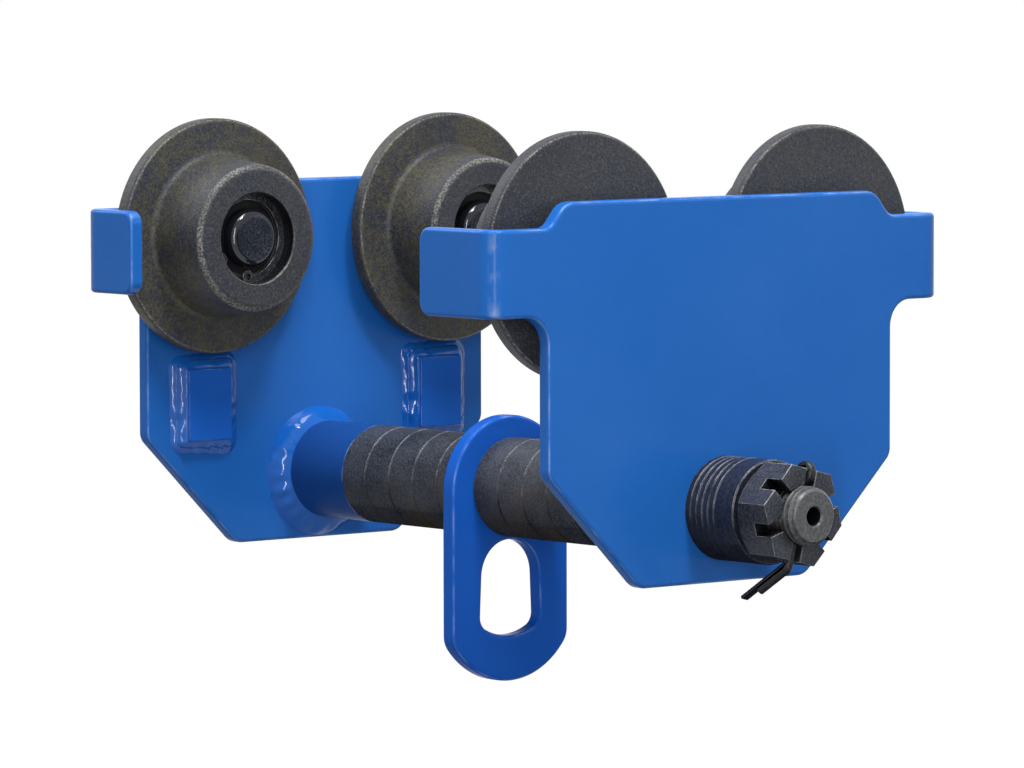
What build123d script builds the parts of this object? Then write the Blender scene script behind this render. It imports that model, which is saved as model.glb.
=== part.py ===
from build123d import *
import os
from math import cos, radians, sin, sqrt, tan

# Manual beam trolley: two side plates with flanged wheels run on the lower flange of an I-beam,
# and a bar between the plates carries a suspension plate for the hoist's hook.
# X runs along the beam, Y along the load bar from the nut's plate (near) to the boss's plate (far), Z up.
# The origin is midway between the plates and the axles, level with the beam's running surface.

os.makedirs("parts", exist_ok=True)

# Side plates, with heights counted from the axles
plate_thickness = 6.0
plate_top = 20.75
plate_top_inset = 8.2
plate_shoulder_step = 7.4
plate_foot_margin = 27.45
foot_chamfer_width = 43.3
foot_chamfer_height = 42.7
plate_edge_round = 1.5
top_corner_round = 9.0
shoulder_corner_round = 6.0
side_corner_round = 6.0
foot_corner_round = 8.0

# Bumper ears, bent inwards from the ends of each plate
ear_top = 11.5
ear_bottom = -20.5
ear_overhang = 26.4
ear_wheel_clearance = 1.2
ear_bend_radius = 2.4
ear_root_round = 10.0
ear_tip_round = 5.0
far_ear_reach = 25.6
near_ear_reach = 35.65

# Wheels, with distances along the axle counted from the plate's inner face
wheel_base = 115.4
wheel_plate_gap = 4.85
flange_diameter = 91.0
flange_thickness = 6.7
flange_rim_round = 1.6
tread_width = 24.7
tread_root_diameter = 62.8
tread_end_diameter = 56.2
tread_root_fillet = 2.5
tread_end_round = 3.0
bearing_shoulder = 3.0
bore_mouth_chamfer = 0.6

# Sealed ball bearing in each wheel
bearing_bore = 15.0
bearing_outside = 35.0
bearing_width = 11.0
bearing_depth = 7.6
inner_race_wall = 3.2
outer_race_wall = 3.1
ball_count = 8
ball_diameter = 5.95
ball_running_clearance = 0.06
groove_conformity = 1.04
cage_wall = 1.4
cage_width = 7.2
cage_pocket_clearance = 0.15
seal_thickness = 0.8
seal_recess = 0.3
seal_lip_clearance = 0.3

# Circlip that holds the bearing in the wheel's bore
circlip_thickness = 1.5
circlip_width = 3.8
circlip_groove_depth = 1.0
circlip_clearance = 0.1
circlip_gap_angle = 57.0
circlip_gap_direction = 241.0
circlip_eye_diameter = 5.0
circlip_eye_hole = 2.5
circlip_eye_inset = 2.4

# Axle pins, welded into a blind hole in the plate
axle_collar_step = 2.5
axle_spigot_diameter = 16.0
axle_spigot_depth = 4.0
axle_weld_clearance = 0.9
axle_head_clearance = 1.1
axle_head_round = 3.8
axle_head_neck_step = 2.0
axle_head_neck = 0.6
axle_head_depth = 1.3

# Blocks welded inside the plates, under the wheels
guard_width = 20.5
guard_height = 27.6
guard_thickness = 5.8
guard_wheel_clearance = 0.9
guard_corner_round = 0.5
guard_weld_leg = 5.5
guard_weld_corner_round = 5.0

# Load bar, and what is strung on it between the plates
bar_diameter = 21.6
bar_drop = 93.6
bar_end_chamfer = 1.6
bar_overhang = 6.0
bar_fit_clearance = 0.1
center_hole_diameter = 6.8
center_hole_depth = 14.0
boss_diameter = 38.0
boss_length = 38.65
boss_weld_leg = 7.0
ring_diameter = boss_diameter
ring_width = 14.45
ring_bore_clearance = 0.3
ring_edge_chamfer = 0.4
far_ring_count = 5
near_ring_count = 8

# Suspension plate, with heights counted from the load bar's axis
hanger_thickness = 6.8
hanger_width = 57.2
hanger_head_drop = 1.25
hanger_foot = -74.4
hanger_foot_easing = 5.2
hanger_foot_corner_round = 9.0
hanger_edge_round = 1.5
hanger_near_gap = 0.3
hanger_far_gap = 0.7
slot_top = -20.2
slot_top_radius = 14.0
slot_foot = -56.9
slot_foot_easing = 12.0
slot_flare_angle = 2.5
slot_foot_corner_round = 5.5
slot_edge_round = 1.5

# Washers and castle nuts outside the plates
washer_diameter = 38.4
washer_bore_clearance = 0.4
thin_washer_thickness = 3.15
thin_washer_count = 5
washer_edge_chamfer = 0.4
thick_washer_thickness = 10.4
nut_across_flats = 34.0
nut_height = 17.1
nut_turn = -14.0
nut_slot_pairs = 3
nut_slot_clearance = 1.3
nut_slot_depth = 7.95
nut_thread_clearance = 0.05
nut_base_chamfer_angle = 45.0
nut_end_chamfer_angle = 5.0
nut_face_inset = 0.5

# Split pins through the nuts' slots and the bar
split_pin_wire = 1.8
split_pin_leg_gap = 0.3
split_pin_hole_clearance = 0.3
split_pin_neck_gap = 0.9
split_pin_eye_bore = 5.2
split_pin_eye_length = 3.9
split_pin_eye_gap = 0.3
leg_bend_easing = 1.8
neck_bend_easing = 0.4
eye_corner_easing = 0.2
split_pin_turn = 8.0
near_leg_bend_angle = 50.0
far_leg_bend_angle = 20.0
inner_leg_length = 22.5
outer_leg_length = 14.6
leg_bend_gap = 1.5
leg_bend_step = 1.0

# Places that follow from the sizes above
far_side = 1
near_side = -1
axle_height = (tread_root_diameter + tread_end_diameter) / 4
bar_height = axle_height - bar_drop
ring_stack = (far_ring_count + near_ring_count) * ring_width
plate_spacing = boss_length + ring_stack + hanger_near_gap + hanger_thickness + hanger_far_gap
far_inner_y = plate_spacing / 2
near_inner_y = -plate_spacing / 2
far_outer_y = far_inner_y + plate_thickness
near_outer_y = near_inner_y - plate_thickness
boss_end_y = far_inner_y - boss_length
hanger_near_y = near_inner_y + near_ring_count * ring_width + hanger_near_gap
thick_washer_y = near_outer_y - thin_washer_count * thin_washer_thickness
near_nut_y = thick_washer_y - thick_washer_thickness
far_nut_y = far_outer_y + thin_washer_thickness
near_bar_end_y = near_nut_y - nut_height - bar_overhang
far_bar_end_y = far_nut_y + nut_height + bar_overhang
bar_hole_radius = bar_diameter / 2 + bar_fit_clearance
bar_axis = Axis((0, 0, bar_height), (0, 1, 0))

ear_inner_face = wheel_base / 2 + flange_diameter / 2 + ear_wheel_clearance
ear_face = ear_inner_face + plate_thickness
plate_half_width = ear_face - ear_overhang
plate_top_half_width = plate_half_width - plate_top_inset
plate_foot_half_width = plate_half_width - foot_chamfer_width
plate_foot = -(bar_drop + plate_foot_margin)
plate_side_foot = plate_foot + foot_chamfer_height
guard_top = -(flange_diameter / 2 + guard_wheel_clearance + guard_weld_leg)

flange_front = wheel_plate_gap + flange_thickness
wheel_end = flange_front + tread_width
bearing_front = wheel_end - bearing_depth
bearing_back = bearing_front - bearing_width
ball_pitch_radius = (bearing_bore + bearing_outside) / 4
ball_radius = ball_diameter / 2
inner_race_radius = bearing_bore / 2 + inner_race_wall
outer_race_radius = bearing_outside / 2 - outer_race_wall
circlip_groove_radius = bearing_outside / 2 + circlip_groove_depth
circlip_eye_place = bearing_outside / 2 - circlip_eye_inset
axle_collar_radius = bearing_bore / 2 + axle_collar_step
axle_neck_radius = bearing_bore / 2 + axle_head_neck_step
axle_head_radius = circlip_eye_place - circlip_eye_diameter / 2 - axle_head_clearance
axle_weld_leg = wheel_plate_gap - axle_weld_clearance

axle_places = (-wheel_base / 2, wheel_base / 2)
wheel_places = {
    "far_left": (axle_places[0], far_side),
    "far_right": (axle_places[1], far_side),
    "near_left": (axle_places[0], near_side),
    "near_right": (axle_places[1], near_side),
}


def keep(part, name):
    """Label a finished piece and write it to its own file."""
    part.label = name
    export_step(part, f"parts/{name}.step")


def group(parts):
    """Several like pieces in one node, each still a solid of its own."""
    return Compound([solid for part in parts for solid in part.solids()])


def facing_near(y, z):
    """Upright plane across the bar at y and height z, with its x along the beam and its normal towards -Y."""
    return Plane(origin=(0, y, z), x_dir=(1, 0, 0), z_dir=(0, -1, 0))


def along_axle(x, side):
    """Level plane through an axle: its x runs out from the axle, its y from the plate towards the beam."""
    return Plane(origin=(x, side * plate_spacing / 2, axle_height), x_dir=(1, 0, 0), z_dir=(0, 0, -side))


def across_axle(x, side, distance):
    """Upright plane across an axle at a distance from the plate, with its normal towards the beam."""
    y = side * (plate_spacing / 2 - distance)
    return Plane(origin=(x, y, axle_height), x_dir=(side, 0, 0), z_dir=(0, -side, 0))


def rim_edges(skin):
    """Outline of a skin made of several faces: the outer edges that only one of its faces has."""
    edges = ShapeList(edge for face in skin for edge in face.outer_wire().edges())
    return edges.filter_by(lambda edge: sum(edge.is_same(other) for other in edges) == 1)


# Side plates: flat plate with a stepped top, chamfered feet and two ears bent towards the beam
def build_side_plate(side, ear_reach):
    inner_y = side * plate_spacing / 2
    outer_y = inner_y + side * plate_thickness
    bend_x = ear_inner_face - ear_bend_radius
    bend_y = inner_y - side * ear_bend_radius
    tip_y = inner_y - side * ear_reach
    outer_bend_radius = ear_bend_radius + plate_thickness
    arc_share = sqrt(0.5)
    with BuildPart() as plate:
        with BuildSketch(facing_near(max(inner_y, outer_y), axle_height)):
            with BuildLine():
                FilletPolyline(
                    (0, plate_top),
                    (plate_top_half_width, plate_top),
                    (plate_top_half_width + plate_shoulder_step, ear_top),
                    (bend_x, ear_top),
                    radius=(top_corner_round, shoulder_corner_round),
                )
                Line((bend_x, ear_top), (bend_x, ear_bottom))
                FilletPolyline(
                    (bend_x, ear_bottom),
                    (plate_half_width, ear_bottom),
                    (plate_half_width, plate_side_foot),
                    (plate_foot_half_width, plate_foot),
                    (0, plate_foot),
                    radius=(ear_root_round, side_corner_round, foot_corner_round),
                )
                Line((0, plate_foot), (0, plate_top))
            make_face()
            mirror(about=Plane.YZ)
        extrude(amount=plate_thickness)
        with BuildSketch(Plane.XY.offset(axle_height + ear_bottom)):
            with BuildLine():
                Line((bend_x, inner_y), (bend_x, outer_y))
                ThreePointArc(
                    (bend_x, outer_y),
                    (bend_x + outer_bend_radius * arc_share, bend_y + side * outer_bend_radius * arc_share),
                    (ear_face, bend_y),
                )
                Polyline(
                    (ear_face, bend_y),
                    (ear_face, tip_y),
                    (ear_inner_face, tip_y),
                    (ear_inner_face, bend_y),
                )
                ThreePointArc(
                    (ear_inner_face, bend_y),
                    (bend_x + ear_bend_radius * arc_share, bend_y + side * ear_bend_radius * arc_share),
                    (bend_x, inner_y),
                )
            make_face()
            mirror(about=Plane.YZ)
        extrude(amount=ear_top - ear_bottom)
        tip_faces = plate.faces().filter_by(Axis.Y).sort_by(Axis.Y, reverse=side == far_side)[-2:]
        fillet(tip_faces.edges().filter_by(Axis.X), radius=ear_tip_round)
        flat_skin = plate.faces().filter_by(Axis.Y).sort_by(SortBy.AREA)[-2:]
        bend_skin = plate.faces().filter_by(GeomType.CYLINDER).filter_by(
            lambda face: face.axis_of_rotation.is_parallel(Axis.Z)
        )
        ear_skin = plate.faces().filter_by(Axis.X).filter_by(lambda face: abs(face.center().X) > bend_x)
        fillet(rim_edges(flat_skin + bend_skin + ear_skin), radius=plate_edge_round)
        with BuildSketch(facing_near(max(inner_y, outer_y), bar_height)):
            Circle(bar_hole_radius)
        extrude(amount=plate_thickness, mode=Mode.SUBTRACT)
        for axle_x in axle_places:
            with BuildSketch(across_axle(axle_x, side, 0)):
                Circle(axle_spigot_diameter / 2)
            extrude(amount=-axle_spigot_depth, mode=Mode.SUBTRACT)
    return plate.part


keep(build_side_plate(far_side, far_ear_reach), "far_side_plate")
keep(build_side_plate(near_side, near_ear_reach), "near_side_plate")


# Blocks under the wheels, and the beads that hold them along the top, the foot and the left side
def build_guard_blocks(side):
    with BuildPart() as blocks:
        for axle_x in axle_places:
            with BuildSketch(across_axle(axle_x, side, 0)):
                with Locations((0, guard_top - guard_height / 2)):
                    RectangleRounded(guard_width, guard_height, guard_corner_round)
        extrude(amount=guard_thickness)
    return blocks.part


def build_guard_weld(axle_x, side):
    bead_width = guard_width + 2 * guard_weld_leg
    bead_height = guard_height + 2 * guard_weld_leg
    middle = guard_top - guard_height / 2
    with BuildPart() as bead:
        with BuildSketch(across_axle(axle_x, side, 0)):
            with Locations((0, middle)):
                RectangleRounded(bead_width, bead_height, guard_weld_corner_round)
        with BuildSketch(across_axle(axle_x, side, guard_thickness)):
            with Locations((0, middle)):
                RectangleRounded(guard_width, guard_height, guard_corner_round)
        loft(ruled=True)
        with BuildSketch(across_axle(axle_x, side, 0)):
            with Locations((0, middle)):
                RectangleRounded(guard_width, guard_height, guard_corner_round)
            with Locations((side * bead_width / 2, middle)):
                Rectangle(2 * (guard_weld_leg + guard_corner_round), bead_height)
        extrude(amount=guard_thickness, mode=Mode.SUBTRACT)
    return bead.part


for side_name, side in (("far", far_side), ("near", near_side)):
    keep(build_guard_blocks(side), f"{side_name}_guard_blocks")
    keep(group(build_guard_weld(axle_x, side) for axle_x in axle_places), f"{side_name}_guard_welds")

# Boss: tube on the inside of the far plate, which the load bar goes through
with BuildPart() as far_boss:
    with BuildSketch(facing_near(far_inner_y, bar_height)):
        Circle(boss_diameter / 2)
        Circle(bar_hole_radius, mode=Mode.SUBTRACT)
    extrude(amount=boss_length)
keep(far_boss.part, "far_boss")

# Bead round the boss, where it meets the plate
with BuildPart() as far_boss_weld:
    with BuildSketch(Plane.XY.offset(bar_height)):
        with BuildLine():
            Polyline(
                (boss_diameter / 2, far_inner_y - boss_weld_leg),
                (boss_diameter / 2, far_inner_y),
                (boss_diameter / 2 + boss_weld_leg, far_inner_y),
                close=True,
            )
        make_face()
    revolve(axis=bar_axis)
keep(far_boss_weld.part, "far_boss_weld")

# Load bar: round bar with centre holes and a cross hole for a split pin at each end
pin_from_nut_base = nut_height - nut_slot_depth + split_pin_eye_gap + split_pin_wire + split_pin_eye_bore / 2
near_pin_y = near_nut_y - pin_from_nut_base
far_pin_y = far_nut_y + pin_from_nut_base
pin_direction = nut_turn + 90.0
pin_axis = Vector(cos(radians(pin_direction)), 0, sin(radians(pin_direction)))
with BuildPart() as load_bar:
    with BuildSketch(facing_near(far_bar_end_y, bar_height)):
        Circle(bar_diameter / 2)
    extrude(amount=far_bar_end_y - near_bar_end_y)
    chamfer(load_bar.edges(), length=bar_end_chamfer)
    with BuildSketch(facing_near(far_bar_end_y, bar_height)):
        Circle(center_hole_diameter / 2)
    extrude(amount=center_hole_depth, mode=Mode.SUBTRACT)
    with BuildSketch(facing_near(near_bar_end_y, bar_height)):
        Circle(center_hole_diameter / 2)
    extrude(amount=-center_hole_depth, mode=Mode.SUBTRACT)
    for pin_y in (near_pin_y, far_pin_y):
        with BuildSketch(Plane(origin=(0, pin_y, bar_height), x_dir=(0, 1, 0), z_dir=pin_axis)):
            Circle(split_pin_wire + split_pin_hole_clearance)
        extrude(amount=bar_diameter, both=True, mode=Mode.SUBTRACT)
keep(load_bar.part, "load_bar")


# Rings and washers on the bar
def build_ring(start_y, width, outside_diameter, bore_clearance, edge_chamfer):
    with BuildPart() as ring:
        with BuildSketch(facing_near(start_y, bar_height)):
            Circle(outside_diameter / 2)
            Circle(bar_diameter / 2 + bore_clearance, mode=Mode.SUBTRACT)
        extrude(amount=width)
        rim = ring.edges().filter_by(GeomType.CIRCLE).group_by(SortBy.RADIUS)[-1]
        chamfer(rim, length=edge_chamfer)
    return ring.part


for number in range(far_ring_count):
    ring_y = boss_end_y - number * ring_width
    ring = build_ring(ring_y, ring_width, ring_diameter, ring_bore_clearance, ring_edge_chamfer)
    keep(ring, f"far_spacer_ring_{number + 1}")

for number in range(near_ring_count):
    ring_y = near_inner_y + (number + 1) * ring_width
    ring = build_ring(ring_y, ring_width, ring_diameter, ring_bore_clearance, ring_edge_chamfer)
    keep(ring, f"near_spacer_ring_{number + 1}")

washers = []
for number in range(thin_washer_count):
    washer_y = near_outer_y - number * thin_washer_thickness
    washer = build_ring(
        washer_y, thin_washer_thickness, washer_diameter, washer_bore_clearance, washer_edge_chamfer
    )
    washers.append(washer)
keep(group(washers), "thin_washers")

thick_washer = build_ring(
    thick_washer_y, thick_washer_thickness, washer_diameter, washer_bore_clearance, washer_edge_chamfer
)
keep(thick_washer, "thick_washer")

far_washer = build_ring(
    far_nut_y, thin_washer_thickness, washer_diameter, washer_bore_clearance, washer_edge_chamfer
)
keep(far_washer, "far_washer")

# Suspension plate: hangs on the bar between the rings, with a slot for the hoist's hook
with BuildPart() as suspension_plate:
    half_width = hanger_width / 2
    head_center = -hanger_head_drop
    head_top = head_center + half_width
    foot_radius = half_width + hanger_foot_easing
    foot_arc_end = hanger_foot + foot_radius - sqrt(foot_radius**2 - half_width**2)
    slot_center = slot_top - slot_top_radius
    flare = radians(slot_flare_angle)
    slot_wall_top = (slot_top_radius * cos(flare), slot_center + slot_top_radius * sin(flare))
    slot_foot_radius = slot_top_radius + slot_foot_easing
    with BuildSketch(facing_near(hanger_near_y + hanger_thickness, bar_height)):
        with BuildLine():
            ThreePointArc((half_width, head_center), (0, head_top), (-half_width, head_center))
            Line((-half_width, head_center), (-half_width, foot_arc_end))
            ThreePointArc((-half_width, foot_arc_end), (0, hanger_foot), (half_width, foot_arc_end))
            Line((half_width, foot_arc_end), (half_width, head_center))
        outline = make_face()
        fillet(outline.vertices().group_by(Axis.Y)[0], radius=hanger_foot_corner_round)
    extrude(amount=hanger_thickness)
    fillet(suspension_plate.faces().filter_by(Axis.Y).edges(), radius=hanger_edge_round)
    with BuildSketch(facing_near(hanger_near_y + hanger_thickness, bar_height)) as slot:
        with Locations((0, slot_foot + slot_foot_radius)):
            Circle(slot_foot_radius)
        with BuildLine():
            wall_drop = slot_wall_top[1] - slot_foot
            wall_foot = (slot_wall_top[0] + wall_drop * tan(flare), slot_foot)
            ThreePointArc(slot_wall_top, (0, slot_top), (-slot_wall_top[0], slot_wall_top[1]))
            Polyline(
                (-slot_wall_top[0], slot_wall_top[1]),
                (-wall_foot[0], slot_foot),
                wall_foot,
                slot_wall_top,
            )
        make_face(mode=Mode.INTERSECT)
        fillet(slot.vertices().group_by(Axis.Y)[0], radius=slot_foot_corner_round)
    extrude(amount=hanger_thickness, mode=Mode.SUBTRACT)
    slot_mouths = [face.inner_wires()[0] for face in suspension_plate.faces().filter_by(Axis.Y)]
    fillet([edge for mouth in slot_mouths for edge in mouth.edges()], radius=slot_edge_round)
    with BuildSketch(facing_near(hanger_near_y + hanger_thickness, bar_height)):
        Circle(bar_hole_radius)
    extrude(amount=hanger_thickness, mode=Mode.SUBTRACT)
keep(suspension_plate.part, "suspension_plate")


# Castle nuts: hexagon with chamfered corners, a bore and slots across its outer end
def build_castle_nut(side, base_y):
    end_y = base_y + side * nut_height
    slot_floor_y = end_y - side * nut_slot_depth
    corner_radius = nut_across_flats / sqrt(3)
    chamfer_radius = nut_across_flats / 2 - nut_face_inset
    chamfer_reach = side * (corner_radius - chamfer_radius)
    base_rise = chamfer_reach * tan(radians(nut_base_chamfer_angle))
    end_rise = chamfer_reach * tan(radians(nut_end_chamfer_angle))
    with BuildPart() as nut:
        with BuildSketch(facing_near(max(base_y, end_y), bar_height)):
            RegularPolygon(corner_radius, 6, rotation=nut_turn)
            Circle(bar_diameter / 2 + nut_thread_clearance, mode=Mode.SUBTRACT)
        extrude(amount=nut_height)
        with BuildSketch(Plane.XY.offset(bar_height)):
            with BuildLine():
                Polyline(
                    (0, base_y),
                    (chamfer_radius, base_y),
                    (corner_radius, base_y + base_rise),
                    (corner_radius, end_y - end_rise),
                    (chamfer_radius, end_y),
                    (0, end_y),
                    close=True,
                )
            make_face()
        revolve(axis=bar_axis, mode=Mode.INTERSECT)
        with BuildSketch(facing_near(max(slot_floor_y, end_y), bar_height)):
            with PolarLocations(0, nut_slot_pairs, start_angle=pin_direction, angular_range=180):
                Rectangle(2 * corner_radius, 2 * split_pin_wire + nut_slot_clearance)
        extrude(amount=nut_slot_depth, mode=Mode.SUBTRACT)
    return nut.part


keep(build_castle_nut(near_side, near_nut_y), "near_castle_nut")
keep(build_castle_nut(far_side, far_nut_y), "far_castle_nut")


# Split pins: one half-round wire folded into an eye, with both legs through the bar and bent over
def build_split_pin(side, pin_y, towards_eye, leg_bend_angle):
    towards_plate = Vector(0, -side, 0)
    leg_side = towards_plate.rotate(Axis((0, 0, 0), towards_eye), split_pin_turn)
    pin_plane = Plane(
        origin=(0, pin_y, bar_height),
        x_dir=-towards_eye,
        z_dir=(-towards_eye).cross(leg_side),
    )
    half_gap = split_pin_leg_gap / 2
    half_bore = split_pin_eye_bore / 2
    neck = -(bar_diameter / 2 + split_pin_neck_gap)
    shoulder = neck - half_bore
    eye_top = shoulder - split_pin_eye_length
    inner_bend = nut_across_flats / 2 + leg_bend_gap
    outer_bend = inner_bend + leg_bend_step
    leg_bend = split_pin_wire + leg_bend_easing
    neck_bend = split_pin_wire + neck_bend_easing
    eye_bend = half_bore - eye_corner_easing
    leg_angle = radians(leg_bend_angle)
    inner_leg_end = (
        inner_bend + inner_leg_length * cos(leg_angle),
        half_gap + inner_leg_length * sin(leg_angle),
    )
    outer_leg_end = (
        outer_bend + outer_leg_length * cos(leg_angle),
        -half_gap + outer_leg_length * sin(leg_angle),
    )
    wire_start = Plane(
        origin=pin_plane.from_local_coords((*inner_leg_end, 0)),
        x_dir=pin_plane.y_dir * cos(leg_angle) - pin_plane.x_dir * sin(leg_angle),
        z_dir=-pin_plane.x_dir * cos(leg_angle) - pin_plane.y_dir * sin(leg_angle),
    )
    with BuildPart() as pin:
        with BuildLine(pin_plane) as wire_path:
            FilletPolyline(
                inner_leg_end,
                (inner_bend, half_gap),
                (neck, half_gap),
                (shoulder, half_bore),
                (eye_top, half_bore),
                (eye_top, -half_bore),
                (shoulder, -half_bore),
                (neck, -half_gap),
                (outer_bend, -half_gap),
                outer_leg_end,
                radius=(leg_bend, neck_bend, eye_bend, eye_bend, eye_bend, eye_bend, neck_bend, leg_bend),
            )
        with BuildSketch(wire_start):
            Circle(split_pin_wire)
            with Locations((-split_pin_wire, 0)):
                Rectangle(2 * split_pin_wire, 2 * split_pin_wire, mode=Mode.SUBTRACT)
        sweep(path=wire_path.wires()[0])
    return pin.part


keep(build_split_pin(near_side, near_pin_y, pin_axis, near_leg_bend_angle), "near_split_pin")

# The far pin goes in from below, so its legs stand up behind the plate, bent only a little
keep(build_split_pin(far_side, far_pin_y, -pin_axis, far_leg_bend_angle), "far_split_pin")


# Wheels: flange, tapered tread and a bore for the bearing, its circlip and the axle pin's head
def build_wheel(x, side):
    level = along_axle(x, side)
    bore = bearing_outside / 2
    back_bore = bore - bearing_shoulder
    groove_front = bearing_front + circlip_thickness + circlip_clearance
    with BuildPart() as wheel:
        with BuildSketch(level):
            with BuildLine():
                FilletPolyline(
                    (back_bore, wheel_plate_gap),
                    (flange_diameter / 2, wheel_plate_gap),
                    (flange_diameter / 2, flange_front),
                    (tread_root_diameter / 2, flange_front),
                    (tread_end_diameter / 2, wheel_end),
                    (bore + bore_mouth_chamfer, wheel_end),
                    radius=(flange_rim_round, flange_rim_round, tread_root_fillet, tread_end_round),
                )
                Polyline(
                    (bore + bore_mouth_chamfer, wheel_end),
                    (bore, wheel_end - bore_mouth_chamfer),
                    (bore, groove_front),
                    (circlip_groove_radius, groove_front),
                    (circlip_groove_radius, bearing_front),
                    (bore, bearing_front),
                    (bore, bearing_back),
                    (back_bore, bearing_back),
                    (back_bore, wheel_plate_gap),
                )
            make_face()
        revolve(axis=Axis(level.origin, level.y_dir))
    return wheel.part


# Bearing races: rings with a ball groove halfway along them
def build_race(x, side, inside_radius, outside_radius, groove_center_radius):
    level = along_axle(x, side)
    middle = (bearing_front + bearing_back) / 2
    with BuildPart() as race:
        with BuildSketch(level):
            with Locations(((inside_radius + outside_radius) / 2, middle)):
                Rectangle(outside_radius - inside_radius, bearing_width)
            with Locations((groove_center_radius, middle)):
                Circle(ball_radius * groove_conformity, mode=Mode.SUBTRACT)
        revolve(axis=Axis(level.origin, level.y_dir))
    return race.part


# Balls, and the cage that holds them evenly round the bearing
def build_balls(x, side):
    middle_plane = across_axle(x, side, (bearing_front + bearing_back) / 2)
    pocket_depth = 2 * cage_wall
    with BuildPart() as cage:
        with BuildSketch(middle_plane):
            Circle(ball_pitch_radius + cage_wall / 2)
            Circle(ball_pitch_radius - cage_wall / 2, mode=Mode.SUBTRACT)
        extrude(amount=cage_width / 2, both=True)
        with Locations(middle_plane):
            with PolarLocations(ball_pitch_radius, ball_count):
                Cylinder(
                    ball_radius + cage_pocket_clearance, pocket_depth, rotation=(0, 90, 0), mode=Mode.SUBTRACT
                )
    with BuildPart() as balls:
        with Locations(middle_plane):
            with PolarLocations(ball_pitch_radius, ball_count):
                Sphere(ball_radius)
    return group((cage.part, balls.part))


# Seals: two thin rubber rings that close the bearing, fixed in the outer race
def build_seals(x, side):
    with BuildPart() as seals:
        for start in (bearing_back + seal_recess, bearing_front - seal_recess - seal_thickness):
            with BuildSketch(across_axle(x, side, start)):
                Circle(outer_race_radius)
                Circle(inner_race_radius + seal_lip_clearance, mode=Mode.SUBTRACT)
            extrude(amount=seal_thickness)
    return seals.part


# Circlip: sprung ring in the wheel's groove, with an eye at each end of its gap
def build_circlip(x, side):
    outer_radius = circlip_groove_radius - circlip_clearance
    gap_direction = circlip_gap_direction if side == far_side else 180 - circlip_gap_direction
    gap_edges = (gap_direction - circlip_gap_angle / 2, gap_direction + circlip_gap_angle / 2)
    reach = 2 * outer_radius
    with BuildPart() as circlip:
        with BuildSketch(across_axle(x, side, bearing_front)):
            Circle(outer_radius)
            Circle(outer_radius - circlip_width, mode=Mode.SUBTRACT)
            with BuildLine():
                gap_corners = [(reach * cos(radians(turn)), reach * sin(radians(turn))) for turn in gap_edges]
                Polyline((0, 0), gap_corners[0], gap_corners[1], close=True)
            make_face(mode=Mode.SUBTRACT)
            with PolarLocations(
                circlip_eye_place, 2, start_angle=gap_edges[0], angular_range=2 * circlip_gap_angle
            ):
                Circle(circlip_eye_diameter / 2)
                Circle(circlip_eye_hole / 2, mode=Mode.SUBTRACT)
        extrude(amount=circlip_thickness)
    return circlip.part


# Axle pins: collar against the plate, seat for the bearing and a domed head inside the wheel's bore
def build_axle_pin(x, side):
    level = along_axle(x, side)
    head_back = bearing_front + axle_head_neck
    head_front = wheel_end - axle_head_depth
    with BuildPart() as axle_pin:
        with BuildSketch(level):
            with BuildLine():
                FilletPolyline(
                    (0, -axle_spigot_depth),
                    (axle_spigot_diameter / 2, -axle_spigot_depth),
                    (axle_spigot_diameter / 2, 0),
                    (axle_collar_radius, 0),
                    (axle_collar_radius, bearing_back),
                    (bearing_bore / 2, bearing_back),
                    (bearing_bore / 2, bearing_front),
                    (axle_neck_radius, bearing_front),
                    (axle_neck_radius, head_back),
                    (axle_head_radius, head_back),
                    (axle_head_radius, head_front),
                    (0, head_front),
                    radius=(0, 0, 0, 0, 0, 0, 0, 0, 0, axle_head_round),
                )
                Line((0, head_front), (0, -axle_spigot_depth))
            make_face()
        revolve(axis=Axis(level.origin, level.y_dir))
    return axle_pin.part


# Beads round the axle pins' collars, where they meet the plate
def build_axle_welds(side):
    with BuildPart() as welds:
        for axle_x in axle_places:
            level = along_axle(axle_x, side)
            with BuildSketch(level):
                with BuildLine():
                    Polyline(
                        (axle_collar_radius, 0),
                        (axle_collar_radius + axle_weld_leg, 0),
                        (axle_collar_radius, axle_weld_leg),
                        close=True,
                    )
                make_face()
            revolve(axis=Axis(level.origin, level.y_dir))
    return welds.part


groove_offset = ball_radius + ball_running_clearance - ball_radius * groove_conformity
for place, (axle_x, side) in wheel_places.items():
    outer_groove = ball_pitch_radius + groove_offset
    inner_groove = ball_pitch_radius - groove_offset
    outer_race = build_race(axle_x, side, outer_race_radius, bearing_outside / 2, outer_groove)
    inner_race = build_race(axle_x, side, bearing_bore / 2, inner_race_radius, inner_groove)
    keep(build_wheel(axle_x, side), f"{place}_wheel")
    keep(outer_race, f"{place}_bearing_outer_race")
    keep(build_balls(axle_x, side), f"{place}_bearing_balls")
    keep(inner_race, f"{place}_bearing_inner_race")
    keep(build_seals(axle_x, side), f"{place}_bearing_seals")
    keep(build_circlip(axle_x, side), f"{place}_circlip")
    keep(build_axle_pin(axle_x, side), f"{place}_axle_pin")

for side_name, side in (("far", far_side), ("near", near_side)):
    keep(build_axle_welds(side), f"{side_name}_axle_welds")
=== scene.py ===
from math import cos, pi, radians, sin

import bmesh
import bpy
import numpy as np
from mathutils import Matrix, Vector


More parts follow.
